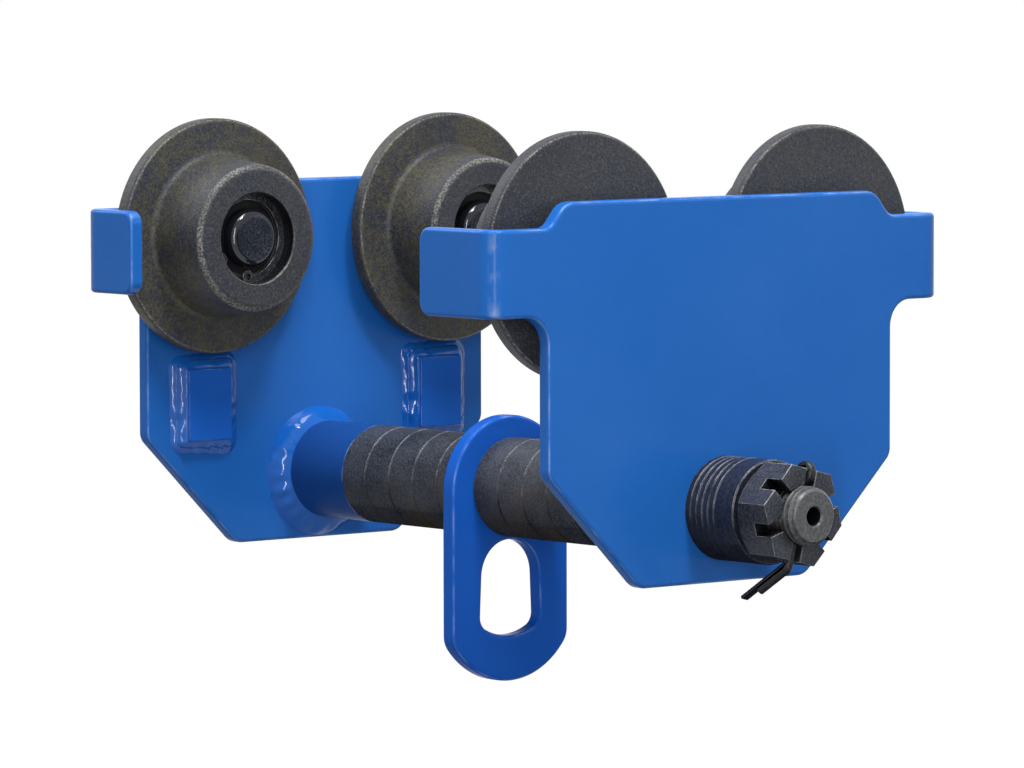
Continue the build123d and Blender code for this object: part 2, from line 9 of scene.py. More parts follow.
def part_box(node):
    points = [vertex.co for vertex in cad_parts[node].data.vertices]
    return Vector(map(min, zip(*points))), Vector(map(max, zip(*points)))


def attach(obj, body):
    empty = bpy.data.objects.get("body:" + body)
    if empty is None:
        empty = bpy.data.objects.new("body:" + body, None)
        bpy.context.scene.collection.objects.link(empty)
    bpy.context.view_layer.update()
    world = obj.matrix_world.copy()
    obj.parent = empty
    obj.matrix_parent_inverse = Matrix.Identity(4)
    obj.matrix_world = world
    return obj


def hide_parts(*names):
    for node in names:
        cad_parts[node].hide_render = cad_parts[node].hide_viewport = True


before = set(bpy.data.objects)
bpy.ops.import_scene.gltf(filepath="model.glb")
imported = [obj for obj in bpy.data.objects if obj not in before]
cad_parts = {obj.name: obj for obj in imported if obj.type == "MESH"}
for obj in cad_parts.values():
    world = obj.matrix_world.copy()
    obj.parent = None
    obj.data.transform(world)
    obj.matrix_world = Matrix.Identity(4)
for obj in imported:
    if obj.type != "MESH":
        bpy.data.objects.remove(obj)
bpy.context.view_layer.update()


# Side plates: two steel plates cut to shape, with both ends bent in as bumper ears.
# They are sprayed blue after welding: a glossy coat with a little orange peel, paler on the roundings: thin
# paint and painted highlight.
plate_blue = (0.011, 0.103, 0.388, 1.0)
plate_blue_pale = (0.022, 0.124, 0.421, 1.0)
chip_and_highlight_blue = (0.34, 0.42, 0.56, 1.0)
drift_share = 0.45
nib_share = 0.2
nib_tint = 0.7
nib_lift = 0.06
chip_width = 0.0005
chip_share = 0.7
cloud_waves = 1.5


def add_node(tree, kind, inputs=None, **settings):
    """Add a shader node. A socket given for an input is linked to it, and any other value is set on it."""
    node = tree.nodes.new("ShaderNode" + kind)
    for name, value in settings.items():
        setattr(node, name, value)
    for name, value in (inputs or {}).items():
        if isinstance(value, bpy.types.NodeSocket):
            tree.links.new(value, node.inputs[name])
        else:
            node.inputs[name].default_value = value
    return node


def new_finish(name):
    """Start a material, and return it with its node tree, its surface shader and its coordinates node."""
    finish = bpy.data.materials.new(name)
    finish.use_nodes = True
    tree = finish.node_tree
    return finish, tree, tree.nodes["Principled BSDF"], add_node(tree, "TexCoord")


def feed(tree, shader, looks):
    """Link each look to the shader's input of that name."""
    for name, socket in looks.items():
        tree.links.new(socket, shader.inputs[name])


def grain(tree, place, scale, detail):
    """Cloudy grain from 0 to 1, whose lumps are about one over scale metres wide."""
    return add_node(tree, "TexNoise", {"Vector": place, "Scale": scale, "Detail": detail}).outputs["Fac"]


def stretch(tree, value, low, high, new_low=0.0, new_high=1.0):
    """Stretch the span from low to high over a new span, held at its ends."""
    spans = {"Value": value, "From Min": low, "From Max": high, "To Min": new_low, "To Max": new_high}
    return add_node(tree, "MapRange", spans).outputs["Result"]


def spots(tree, place, scale, detail, low, high, new_low=0.0, new_high=1.0):
    """Cloudy grain with its span from low to high stretched over a new one, so that its lumps stand out."""
    return stretch(tree, grain(tree, place, scale, detail), low, high, new_low, new_high)


def mix_colours(tree, share, first, second):
    """Mix two colours by a share from 0 to 1."""
    return add_node(tree, "Mix", {0: share, 6: first, 7: second}, data_type="RGBA").outputs[2]


def combine(tree, operation, first, second):
    """One step of arithmetic on two values."""
    return add_node(tree, "Math", {0: first, 1: second}, operation=operation).outputs["Value"]


def times(tree, first, second):
    """Product of two values."""
    return combine(tree, "MULTIPLY", first, second)


def unsigned(tree, value):
    """Size of a value without its sign."""
    return add_node(tree, "Math", {0: value}, operation="ABSOLUTE").outputs["Value"]


def facing(tree, coordinates):
    """Shares of X, Y and Z in the direction that the surface faces."""
    return add_node(tree, "SeparateXYZ", {"Vector": coordinates.outputs["Normal"]}).outputs


def rounded_edges(tree, coordinates, low, high, fade_in=0.2, fade_out=0.1):
    """Mask of the roundings between faces along Y and faces across it, from the share of Y in the normal.
    It fades in from the low share upwards, and is faded out again at the high one."""
    along = unsigned(tree, facing(tree, coordinates)["Y"])
    ramp_up = stretch(tree, along, low, low + fade_in)
    ramp_down = stretch(tree, along, high - fade_out, high, new_low=1.0, new_high=0.0)
    return times(tree, ramp_up, ramp_down)


def edge_mask(tree, width):
    """Normal with the edges rounded over by a width, and a mask of them from its turn off the true one."""
    rounded = add_node(tree, "Bevel", {"Radius": width}, samples=6).outputs["Normal"]
    true = add_node(tree, "NewGeometry").outputs["Normal"]
    match = add_node(tree, "VectorMath", {0: rounded, 1: true}, operation="DOT_PRODUCT").outputs["Value"]
    return rounded, stretch(tree, match, low=0.985, high=0.80)


def paint_finish(name, colour, pale, roughness, sheen=0.10, peel=0.00012, thinning_and_highlight=0.34):
    """Sprayed paint: colour drifting to a paler one, paler on the roundings by the share of
    thinning_and_highlight, partly thin paint and partly a painted highlight, with fine pale nibs, chipped
    to a pale line along the sharp edges, with less sheen underneath and a bump of orange peel."""
    finish, tree, shader, coordinates = new_finish(name)
    place = coordinates.outputs["Object"]
    drift = spots(tree, place, scale=16.0, detail=4.0, low=0.3, high=0.7)
    coat = mix_colours(tree, times(tree, drift, drift_share), colour, pale)
    # Paler on the roundings: partly thin paint, partly a painted highlight.
    if thinning_and_highlight:
        broken = spots(tree, place, scale=110.0, detail=4.0, low=0.40, high=0.66, new_high=thinning_and_highlight)
        thin_paint_and_highlight = times(tree, rounded_edges(tree, coordinates, low=0.48, high=0.92), broken)
        coat = mix_colours(tree, thin_paint_and_highlight, coat, chip_and_highlight_blue)
    nib_colour = tuple(nib_tint * share + nib_lift for share in pale[:3]) + (1.0,)
    nibs = spots(tree, place, scale=900.0, detail=1.0, low=0.72, high=0.80)
    specked = mix_colours(tree, times(tree, nibs, nib_share), coat, nib_colour)
    rounded, edges = edge_mask(tree, chip_width)
    flakes = spots(tree, place, scale=150.0, detail=4.0, low=0.42, high=0.62, new_high=chip_share)
    cloud = grain(tree, place, scale=60.0, detail=5.0)
    ripple = grain(tree, place, scale=420.0, detail=2.0)
    waves = combine(tree, "ADD", ripple, times(tree, cloud, cloud_waves))
    bump = add_node(tree, "Bump", {"Height": waves, "Distance": peel, "Strength": 0.6, "Normal": rounded})
    rise = facing(tree, coordinates)["Z"]
    feed(tree, shader, {
        "Base Color": mix_colours(tree, times(tree, edges, flakes), specked, chip_and_highlight_blue),
        "Roughness": stretch(tree, cloud, 0.3, 0.7, new_low=roughness - 0.04, new_high=roughness + 0.05),
        "Normal": bump.outputs["Normal"],
        "Specular IOR Level": stretch(tree, rise, -0.7, 0.0, new_low=0.3 * sheen, new_high=sheen),
    })
    return finish


def wear(node, finish):
    """Give a CAD node its finish."""
    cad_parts[node].data.materials.clear()
    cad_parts[node].data.materials.append(finish)


plate_paint = paint_finish("plate_paint", plate_blue, plate_blue_pale, roughness=0.22)
wear("far_side_plate", plate_paint)
wear("near_side_plate", plate_paint)


# Guard blocks: small steel blocks welded inside the plates under the wheels, painted over with the plates.
# Each is held by a fillet weld of two passes all round, widest on the right, under a thick shiny coat.
block_blue = (0.009, 0.092, 0.430, 1.0)
block_blue_pale = (0.015, 0.108, 0.460, 1.0)
bead_blue = (0.006, 0.090, 0.390, 1.0)
bead_blue_pale = (0.010, 0.106, 0.420, 1.0)
bead_coat = {"roughness": 0.09, "peel": 0.00001, "thinning_and_highlight": 0.0}
bead_sink = 0.0003
bead_crease = 60.0
bead_growth = 0.15
bead_swell = 0.05
swell_waves = (0.04, 0.012)
bead_wander = 0.04
wander_waves = (0.05, 0.014)
bead_lump = 0.00022
lump_waves = (0.018, 0.0055)
wave_lean = 0.6
least_wave = 0.4
guard_spread = 1.215
guard_widest = 0.9
guard_seed = 40
guard_side_rows = 60
guard_corner_rows = 24
seam_gap = 1e-6
plate_sides = (("far", "boss_side", -1.0), ("near", "nut_side", 1.0))
pass_out = (1.0, 0.91, 0.80, 0.69, 0.59, 0.50, 0.38, 0.25, 0.12, 0.0)
pass_up = (0.0, 0.11, 0.21, 0.29, 0.33, 0.53, 0.64, 0.73, 0.79, 1.0)
pass_cuts = 4
section_run = np.linspace(0, 1, pass_cuts * (len(pass_out) - 1) + 1)
pass_run = section_run[::pass_cuts]
double_section = (np.interp(section_run, pass_run, pass_out), np.interp(section_run, pass_run, pass_up))


def slow_waves(run, total, seed, longest, shortest, across=0.0):
    """Sum of sines that fit the total a whole number of times, with phases drawn from the seed, about one
    high. Each sine also leans by its own share of a turn over the way across."""
    draws = np.random.default_rng(seed)
    counts = np.arange(max(1, round(total / longest)), round(total / shortest) + 1)
    leans = draws.uniform(-wave_lean, wave_lean, len(counts)) * np.asarray(across)[..., None]
    turns = 2 * pi * (run[..., None] / total * counts + draws.random(len(counts)) + leans)
    heights = draws.uniform(least_wave, 1.0, len(counts))
    return (np.sin(turns) * heights).sum(-1) / np.sqrt((heights**2).sum() / 2) / 2


def weld_bead(seam, outward, lift, out_leg, up_leg, section, seed, widest):
    """Fillet weld round a closed seam as a grid of points, one row for each place along the seam.
    A row goes from the toe on the plate to the toe on the piece: out by the out leg and up by the up leg,
    each times its share in the section, then back to the root, which is sunk a little into both. The out
    leg grows by a cosine towards its widest place, given as a share of the seam, and wanders in slow waves.
    Other slow waves draw the up leg in, and leaning waves raise soft lumps along the middle of the row."""
    middle = seam + outward * out_leg / 2
    steps = np.linalg.norm(np.diff(middle, axis=0, append=middle[:1]), axis=1)
    run = np.cumsum(steps) - steps
    total = steps.sum()
    out_share, up_share = section
    swell = 1 + bead_swell * slow_waves(run, total, seed, *swell_waves)[:, None]
    growth = bead_growth * np.cos(2 * pi * (run / total - widest))
    spread = (1 + growth + bead_wander * slow_waves(run, total, seed + 1, *wander_waves))[:, None]
    lumps = slow_waves(run[:, None], total, seed + 2, *lump_waves, across=section_run[None])
    lumps = bead_lump * lumps * np.sin(pi * section_run)
    out = out_leg * spread * out_share + lumps
    up = up_leg * np.minimum(swell, 1.0) * up_share + lumps
    root = seam - bead_sink * (outward + np.array(lift))
    skin = root[:, None] + outward[:, None] * out[..., None] + np.array(lift) * up[..., None]
    return np.concatenate([skin, root[:, None]], axis=1)


def grid_faces(rows, columns, closed):
    """Quads between neighbouring rows and columns of a grid. Columns join round, and so do closed rows."""
    row = np.arange(rows if closed else rows - 1)[:, None]
    column = np.arange(columns)[None]
    next_row, next_column = (row + 1) % rows, (column + 1) % columns
    corners = [row * columns + column, row * columns + next_column]
    corners += [next_row * columns + next_column, next_row * columns + column]
    return np.stack(np.broadcast_arrays(*corners), -1).reshape(-1, 4)


def lay_piece(name, grids, finish, body, crease, closed):
    """Make one piece of one or more grids of points, merge its doubled points, turn its faces outwards,
    keep the turns past the crease angle sharp, and let it ride on its body."""
    points, faces, count = [], [], 0
    for grid in grids:
        points.append(grid.reshape(-1, 3))
        faces.append(grid_faces(*grid.shape[:2], closed) + count)
        count += len(points[-1])
    mesh = bpy.data.meshes.new(name)
    mesh.from_pydata(np.concatenate(points).tolist(), [], np.concatenate(faces).tolist())
    work = bmesh.new()
    work.from_mesh(mesh)
    bmesh.ops.remove_doubles(work, verts=work.verts, dist=seam_gap)
    bmesh.ops.recalc_face_normals(work, faces=work.faces)
    work.to_mesh(mesh)
    work.free()
    mesh.polygons.foreach_set("use_smooth", np.ones(len(mesh.polygons), bool))
    mesh.set_sharp_from_angle(angle=radians(crease))
    mesh.materials.append(finish)
    piece = bpy.data.objects.new(name, mesh)
    bpy.context.scene.collection.objects.link(piece)
    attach(piece, body)
    return piece


def guard_seam(left, right, top, foot, face):
    """Seam round a block: along its top from right to left, down, along its foot and up its right side.
    The outward direction turns through a quarter while the seam stays at a corner."""
    along, corner = np.linspace(0, 1, guard_side_rows), np.linspace(0, 1, guard_corner_rows)[1:-1]
    side_run = np.concatenate([along, 1 + 0 * corner])
    side_turn = np.concatenate([0 * along, corner])
    starts_x, ends_x = np.array([[right, left, left, right], [left, left, right, right]])[..., None]
    starts_z, ends_z = np.array([[top, top, foot, foot], [top, foot, foot, top]])[..., None]
    x = (starts_x + (ends_x - starts_x) * side_run).ravel()
    z = (starts_z + (ends_z - starts_z) * side_run).ravel()
    turn = (np.arange(1, 5)[:, None] + side_turn).ravel() * pi / 2
    seam = np.stack([x, np.full_like(x, face), z], -1)
    outward = np.stack([np.cos(turn), np.zeros_like(x), np.sin(turn)], -1)
    return seam, outward


block_paint = paint_finish("block_paint", block_blue, block_blue_pale, roughness=0.24, sheen=0.05)
bead_paint = paint_finish("bead_paint", bead_blue, bead_blue_pale, sheen=0.36, **bead_coat)
for side, body, towards_beam in plate_sides:
    wear(f"{side}_guard_blocks", block_paint)
    low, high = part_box(f"{side}_guard_blocks")
    bead_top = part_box(f"{side}_guard_welds")[1].z
    plate_face = high.y if side == "far" else low.y
    lift = (0, towards_beam, 0)
    out_leg, up_leg = guard_spread * (bead_top - high.z), high.y - low.y
    bead_grids = []
    for number, wheel in enumerate(("left", "right")):
        wheel_low, wheel_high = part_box(f"{side}_{wheel}_wheel")
        axle_x = (wheel_low.x + wheel_high.x) / 2
        half_width = (high.x - low.x) / 2 - abs(axle_x)
        seam, outward = guard_seam(axle_x - half_width, axle_x + half_width, high.z, low.z, plate_face)
        seed = guard_seed + number
        bead = weld_bead(seam, outward, lift, out_leg, up_leg, double_section, seed, guard_widest)
        bead_grids.append(bead)
    beads_name = f"{side}_guard_beads"
    beads = lay_piece(beads_name, bead_grids, bead_paint, body, bead_crease, closed=True)
    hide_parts(f"{side}_guard_welds")


# Boss: a length of thick tube welded square to the far plate, which the load bar slides through.
# A heavy bead runs round its foot. Both are painted with the plate, and its end meets the first ring.
# The boss's blue is the plate's paint made darker, as painted shade between the plates.
boss_shaded_blue = (0.009, 0.054, 0.228, 1.0)
boss_shaded_blue_pale = (0.015, 0.066, 0.258, 1.0)
boss_seed = 7
boss_bead_rows = 220
ring_widest = 0.75
ring_fullness = 0.09 * np.sin(pi * section_run)
full_section = (1 - section_run + ring_fullness, section_run + ring_fullness)


def ring_bead(centre_x, centre_z, radius, face, towards_beam, out_leg, up_leg, seed, rows):
    """Bead round a tube: its seam is a circle in the plate's face, and outward is along the radius."""
    turn = np.linspace(0, 2 * pi, rows, endpoint=False)
    outward = np.stack([np.cos(turn), np.zeros(rows), np.sin(turn)], -1)
    seam = np.array([centre_x, face, centre_z]) + radius * outward
    return weld_bead(seam, outward, (0, towards_beam, 0), out_leg, up_leg, full_section, seed, ring_widest)


wear("far_boss", paint_finish("boss_shaded_paint", boss_shaded_blue, boss_shaded_blue_pale, roughness=0.28, sheen=0.02))
boss_low, boss_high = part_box("far_boss")
bead_low, bead_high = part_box("far_boss_weld")
boss_radius = (boss_high.x - boss_low.x) / 2
bar_z = (boss_high.z + boss_low.z) / 2
boss_bead = ring_bead(
    centre_x=0.0, centre_z=bar_z, radius=boss_radius, face=bead_high.y, towards_beam=-1.0,
    out_leg=bead_high.x - boss_radius, up_leg=bead_high.y - bead_low.y, seed=boss_seed, rows=boss_bead_rows,
)
boss_bead_paint = paint_finish("boss_bead_paint", bead_blue, bead_blue_pale, sheen=0.22, **bead_coat)
boss_weld = lay_piece(
    "boss_bead", [boss_bead], boss_bead_paint, "boss_side", bead_crease, closed=True
)
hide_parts("far_boss_weld")


# Axle pins: turned steel pins welded to the plates, with a domed head that shows in the wheel's bore.
# The head is oil-blackened and shiny. A small painted bead holds each pin where it leaves the plate.
head_black = (0.007, 0.008, 0.012, 1.0)
disc_grey = (0.007, 0.009, 0.015, 1.0)
disc_pale = (0.068, 0.078, 0.102, 1.0)
disc_grain = 0.00002
disc_smear = 0.6
disc_least = 0.25
axle_seed = 90
axle_bead_rows = 96
wheel_places = ("far_left", "far_right", "near_left", "near_right")


def head_finish(name):
    """Oiled black steel: a glossy rounding, and on the flat end a rough disc of dark and pale specks."""
    finish, tree, shader, coordinates = new_finish(name)
    place = coordinates.outputs["Object"]
    flat = stretch(tree, unsigned(tree, facing(tree, coordinates)["Y"]), low=0.940, high=0.999)
    specks = spots(tree, place, scale=1300.0, detail=4.0, low=0.42, high=0.68)
    smears = spots(tree, place, scale=190.0, detail=4.0, low=0.35, high=0.65)
    spotted = times(tree, specks, combine(tree, "ADD", times(tree, smears, disc_smear), disc_least))
    disc = mix_colours(tree, spotted, disc_grey, disc_pale)
    bump = add_node(tree, "Bump", {"Height": times(tree, spotted, flat), "Distance": disc_grain})
    feed(tree, shader, {
        "Base Color": mix_colours(tree, flat, head_black, disc),
        "Roughness": stretch(tree, flat, 0.0, 1.0, new_low=0.10, new_high=0.38),
        "Normal": bump.outputs["Normal"],
        "Specular IOR Level": stretch(tree, flat, 0.0, 1.0, new_low=0.45, new_high=0.08),
    })
    return finish


oiled_black = head_finish("axle_black")
for wheel_place in wheel_places:
    wear(f"{wheel_place}_axle_pin", oiled_black)
for side, body, towards_beam in plate_sides:
    low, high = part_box(f"{side}_axle_welds")
    leg = high.y - low.y
    plate_face = high.y if side == "far" else low.y
    axle_z = (low.z + high.z) / 2
    collar_radius = (high.z - low.z) / 2 - leg
    bead_grids = []
    for wheel in ("left", "right"):
        wheel_low, wheel_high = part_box(f"{side}_{wheel}_wheel")
        axle_x = (wheel_low.x + wheel_high.x) / 2
        bead = ring_bead(
            axle_x, axle_z, collar_radius, plate_face, towards_beam,
            out_leg=leg, up_leg=leg, seed=axle_seed, rows=axle_bead_rows,
        )
        bead_grids.append(bead)
    beads_name = f"{side}_axle_beads"
    axle_beads = lay_piece(beads_name, bead_grids, bead_paint, body, bead_crease, closed=True)
    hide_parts(f"{side}_axle_welds")


# Bearings: sealed ball bearings pressed into the wheels, with races dark with oil, a cage and rubber seals.
# Only the outer seal shows, deep in the bore behind the circlip.
race_steel = (0.060, 0.061, 0.066, 1.0)
race_steel_dull = (0.036, 0.037, 0.041, 1.0)
seal_black = (0.008, 0.008, 0.009, 1.0)
seal_grey = (0.016, 0.016, 0.018, 1.0)
rust_and_reflection_brown = (0.048, 0.036, 0.022, 1.0)
corner_reach = 0.010
tone_share = 0.4
speck_share = 0.6
shade_tint = 0.08


def recess(tree, reach):
    """Share of open sky over a point: one in the open, falling to zero deep in a corner or a slot."""
    return add_node(tree, "AmbientOcclusion", {"Distance": reach}, samples=8, only_local=True).outputs["AO"]


def steel_finish(
    name, dark, light, bare, roughness, speck_scale, pit_depth, edge_width, rub,
    sheen=0.2, stain_and_reflection=0.0, shade_mask=None, seam=0.0,
):
    """Blackened steel: two dark tones in fine specks, brown stains and a painted warm reflection on the dry
    underside, painted shade in oily black in the corners and wherever the shade mask says, uneven painted
    shade in the grooves between neighbours by the share of the seam, bare metal rubbed through along the
    outer edges with a painted highlight that makes it strongest on the upper ones, and a blasted grain. A
    groove is where the surface faces along the bar, wholly or in part, and not upwards."""
    finish, tree, shader, coordinates = new_finish(name)
    place = coordinates.outputs["Object"]
    faces = facing(tree, coordinates)
    tone = spots(tree, place, scale=70.0, detail=5.0, low=0.35, high=0.65)
    specks = spots(tree, place, scale=speck_scale, detail=3.0, low=0.42, high=0.62)
    share = combine(tree, "ADD", times(tree, tone, tone_share), times(tree, specks, speck_share))
    # Brown on the lower faces: partly stains, partly a painted warm reflection from below.
    rust_and_reflection = times(tree, spots(tree, place, scale=34.0, detail=5.0, low=0.42, high=0.62), stain_and_reflection)
    rust_and_reflection = times(tree, rust_and_reflection, stretch(tree, faces["Z"], low=0.5, high=-0.6))
    stained_and_reflecting = mix_colours(tree, rust_and_reflection, mix_colours(tree, share, dark, light), rust_and_reflection_brown)
    painted_shade_black = tuple(shade_tint * part for part in dark[:3]) + (1.0,)
    # Painted shade: oily black in the corners and slots, by the share of open sky.
    open_sky = recess(tree, corner_reach)
    base = mix_colours(tree, stretch(tree, open_sky, low=0.48, high=0.92), painted_shade_black, stained_and_reflecting)
    # Painted shade wherever the shade mask says, such as the thread inside the nuts.
    if shade_mask:
        base = mix_colours(tree, shade_mask(tree, coordinates), base, painted_shade_black)
    # Painted shade in the grooves between neighbours, on faces that lean along the bar and don't face up,
    # in uneven clots.
    if seam:
        lean = stretch(tree, unsigned(tree, faces["Y"]), low=0.3, high=0.6)
        groove = times(tree, lean, stretch(tree, faces["Z"], low=0.3, high=-0.1))
        clots = grain(tree, place, scale=45.0, detail=2.0)
        groove_shade = stretch(tree, clots, low=0.4, high=0.6, new_low=0.3 * seam, new_high=seam)
        base = mix_colours(tree, times(tree, groove, groove_shade), base, painted_shade_black)
    rounded, edges = edge_mask(tree, edge_width)
    # Bare metal rubbed through along the open outer edges, made brighter on the upper faces as a painted
    # highlight and faded below by the seam share as painted shade.
    outer = times(tree, edges, stretch(tree, open_sky, low=0.45, high=0.75))
    upper_highlight = stretch(tree, faces["Z"], low=-0.3, high=0.5, new_low=(0.2 - 0.2 * seam) * rub, new_high=rub)
    broken = times(tree, spots(tree, place, scale=240.0, detail=4.0, low=0.35, high=0.6), upper_highlight)
    relief = {"Height": specks, "Distance": pit_depth, "Strength": 0.5, "Normal": rounded}
    bump = add_node(tree, "Bump", relief)
    feed(tree, shader, {
        "Base Color": mix_colours(tree, times(tree, outer, broken), base, bare),
        "Roughness": stretch(tree, specks, 0.0, 1.0, new_low=roughness - 0.05, new_high=roughness + 0.08),
        "Normal": bump.outputs["Normal"],
        "Specular IOR Level": stretch(tree, faces["Z"], -0.6, 0.1, new_low=0.0, new_high=sheen),
    })
    return finish


race_finish = steel_finish(
    "race_steel", race_steel_dull, race_steel, race_steel,
    roughness=0.25, speck_scale=700.0, pit_depth=0.00001, edge_width=0.0004, rub=0.8,
)
seal_finish = steel_finish(
    "seal_rubber_skin", seal_black, seal_grey, seal_grey,
    roughness=0.45, speck_scale=1200.0, pit_depth=0.00003, edge_width=0.0003, rub=0.8, sheen=0.1,
)
for wheel_place in wheel_places:
    wear(f"{wheel_place}_bearing_outer_race", race_finish)
    wear(f"{wheel_place}_bearing_inner_race", race_finish)
    wear(f"{wheel_place}_bearing_balls", race_finish)
    wear(f"{wheel_place}_bearing_seals", seal_finish)


# Wheels: forged iron wheels with a flange and a tapered tread, turned in the bore and on the tread.
# They are oiled dark after blasting: olive-brown and grey specks, with iron rubbed bright on the roundings,
# partly as a painted highlight.
iron_blue = (0.026, 0.031, 0.046, 1.0)
iron_olive = (0.068, 0.062, 0.036, 1.0)
iron_dark = (0.016, 0.016, 0.021, 1.0)
iron_pale = (0.120, 0.120, 0.118, 1.0)
iron_bare_highlight = (0.300, 0.288, 0.240, 1.0)
bore_oil_and_shade_black = (0.004, 0.004, 0.006, 1.0)
bore_radius = 0.0175
bore_fade_start = 0.0004
bore_fade_end = 0.0001
bore_polish = 0.24
tread_reach = 0.0285
tread_fade = 0.0005
rim_fade_start = 0.004
rim_fade_end = 0.003
iron_specks = 0.5
iron_sparkle = 0.6
blast_depth = 0.00010
wheel_sheen = 0.18
end_olive = 0.3
wheel_low, wheel_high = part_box("far_right_wheel")
flange_reach = (wheel_high.x - wheel_low.x) / 2
axle_x, axle_z = (wheel_low.x + wheel_high.x) / 2, (wheel_low.z + wheel_high.z) / 2


def wheel_finish(name, olive):
    """Oiled forging: blue-grey mottled with olive, less on the tread's end, dark patches, dark and pale
    specks, a thin bright line along the flange's rim and a wide sparkling band round the tread's end, both
    partly rubbed iron and partly a painted highlight, and a smooth bore painted black, partly oil and
    partly painted shade.
    The way out from the axle is the length of the offset from it across Y, with X unsigned."""
    finish, tree, shader, coordinates = new_finish(name)
    place = coordinates.outputs["Object"]
    parts = add_node(tree, "SeparateXYZ", {"Vector": place}).outputs
    offset_x = combine(tree, "SUBTRACT", unsigned(tree, parts["X"]), axle_x)
    offset_z = combine(tree, "SUBTRACT", parts["Z"], axle_z)
    offset = add_node(tree, "CombineXYZ", {"X": offset_x, "Z": offset_z}).outputs["Vector"]
    out = add_node(tree, "VectorMath", {0: offset}, operation="LENGTH").outputs["Value"]
    on_end = stretch(tree, out, low=tread_reach + tread_fade, high=tread_reach)
    on_rim = stretch(tree, out, low=flange_reach - rim_fade_start, high=flange_reach - rim_fade_end)
    # The bore is painted near black: oil, and painted shade inside it.
    in_bore = stretch(tree, out, low=bore_radius + bore_fade_start, high=bore_radius + bore_fade_end)
    oil = spots(tree, place, scale=48.0, detail=4.0, low=0.36, high=0.64, new_high=0.5)
    mottle = spots(tree, place, scale=420.0, detail=3.0, low=0.40, high=0.60, new_high=0.5)
    tinge = stretch(tree, on_end, 0.0, 1.0, new_low=olive, new_high=end_olive)
    base = mix_colours(tree, times(tree, combine(tree, "ADD", oil, mottle), tinge), iron_blue, iron_olive)
    pits = spots(tree, place, scale=900.0, detail=3.0, low=0.40, high=0.54, new_low=0.6, new_high=0.0)
    stains = spots(tree, place, scale=30.0, detail=5.0, low=0.50, high=0.68, new_high=0.5)
    pitted = mix_colours(tree, combine(tree, "MAXIMUM", pits, stains), base, iron_dark)
    specks = spots(tree, place, scale=1500.0, detail=3.0, low=0.52, high=0.74)
    speckled = mix_colours(tree, times(tree, specks, iron_specks), pitted, iron_pale)
    sparkle = spots(tree, place, scale=1300.0, detail=2.0, low=0.40, high=0.66)
    patches = spots(tree, place, scale=60.0, detail=3.0, low=0.3, high=0.6, new_low=0.2, new_high=0.7)
    # Rim line and end band: partly rubbed iron, partly a painted highlight.
    rim_line = times(tree, rounded_edges(tree, coordinates, low=0.62, high=0.95), on_rim)
    end_band = times(tree, rounded_edges(tree, coordinates, low=0.30, high=0.985), on_end)
    rubbed_and_highlit = times(tree, combine(tree, "MAXIMUM", rim_line, end_band), patches)
    bared = mix_colours(tree, times(tree, rubbed_and_highlit, sparkle), speckled, iron_bare_highlight)
    dull = stretch(tree, specks, 0.0, 1.0, new_low=0.44, new_high=0.58)
    blasted = combine(tree, "SUBTRACT", times(tree, sparkle, iron_sparkle), pits)
    blasted = combine(tree, "ADD", specks, blasted)
    bump = add_node(tree, "Bump", {"Height": blasted, "Distance": blast_depth, "Strength": 0.5})
    feed(tree, shader, {
        "Base Color": mix_colours(tree, in_bore, bared, bore_oil_and_shade_black),
        "Roughness": combine(tree, "SUBTRACT", dull, times(tree, in_bore, bore_polish)),
        "Normal": bump.outputs["Normal"],
    })
    shader.inputs["Specular IOR Level"].default_value = wheel_sheen
    return finish


for side, olive in (("far", 1.0), ("near", 0.35)):
    forged_iron = wheel_finish(f"{side}_forged_iron", olive)
    wear(f"{side}_left_wheel", forged_iron)
    wear(f"{side}_right_wheel", forged_iron)


# Circlips: sprung steel rings, punched with an eye at each end, which snap into a groove in the bore.
# They are blackened and oily, with bright edges where they were sheared, brightest on top as a painted
# highlight.
clip_black = (0.008, 0.009, 0.012, 1.0)
clip_grey = (0.040, 0.043, 0.050, 1.0)
clip_bare_highlight = (0.75, 0.75, 0.75, 1.0)
clip_finish = steel_finish(
    "circlip_steel", clip_black, clip_grey, clip_bare_highlight,
    roughness=0.20, speck_scale=900.0, pit_depth=0.00003, edge_width=0.0005, rub=1.0, sheen=0.6,
)
for wheel_place in wheel_places:
    wear(f"{wheel_place}_circlip", clip_finish)


# Load bar: a round bar with a cut thread and a centre hole at each end.
# It is dark from rolling and grey where turned, with painted shade on the thread inside the nuts.
# The thread is a helix: a groove that goes round once for every pitch along the bar.
bar_dark = (0.040, 0.042, 0.048, 1.0)
bar_grey = (0.098, 0.101, 0.104, 1.0)
bright_steel = (0.36, 0.36, 0.36, 1.0)
thread_pitch = 0.0025
thread_depth = 0.00125
thread_length = 0.0285
thread_runout = 2 * thread_pitch
thread_step = 0.00016
thread_crest = 0.14
thread_flank = 0.72
bar_chamfer = 0.0016
centre_hole_radius = 0.0034
centre_hole_depth = 0.0125
centre_hole_lip = 0.0006
centre_hole_tip = 0.002
tool_mark_count = 7
tool_mark_rows = 4
tool_mark_depth = 0.00005
bar_columns = 128
bar_crease = 28.0
shade_fade_inside = 0.0002
shade_fade_outside = 0.0006


